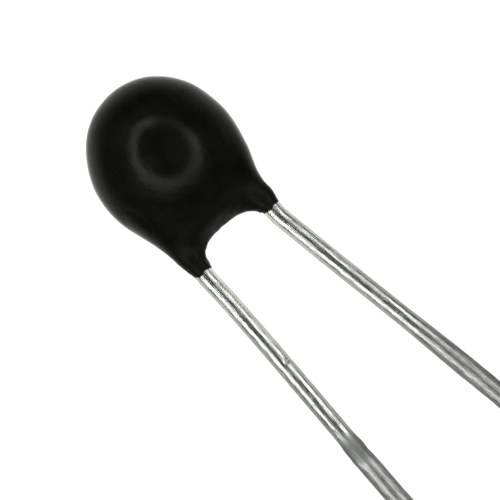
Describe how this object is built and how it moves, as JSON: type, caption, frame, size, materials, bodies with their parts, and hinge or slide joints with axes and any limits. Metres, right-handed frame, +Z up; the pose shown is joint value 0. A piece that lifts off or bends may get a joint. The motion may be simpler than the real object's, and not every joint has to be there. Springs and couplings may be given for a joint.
{
  "type": "bead thermistor",
  "caption": "Drop-shaped thermistor bead in a black epoxy coat, with a pair of tinned wire leads, one bent outwards.",
  "frame": {"origin": "middle of the foot of the part's box as it lies on a bench: z = 0 is the bench", "axes": "+Z up, square to the bead's broad face; -Y runs from the bead along the leads; +X is towards the lead that is bent outwards"},
  "size_m": [0.0078, 0.0292, 0.0035],
  "materials": {
    "black_epoxy": "satin",
    "tinned_copper": "gloss",
    "oxide_ceramic": "matte",
    "fired_silver": "satin",
    "solder": "satin"
  },
  "bodies": {
    "root": {"coating": "black_epoxy", "lead_left": "tinned_copper", "lead_right": "tinned_copper", "ntc_disc": "oxide_ceramic", "electrode_front": "fired_silver", "electrode_back": "fired_silver", "solder_front": "solder", "solder_back": "solder"}
  },
  "joints": []
}
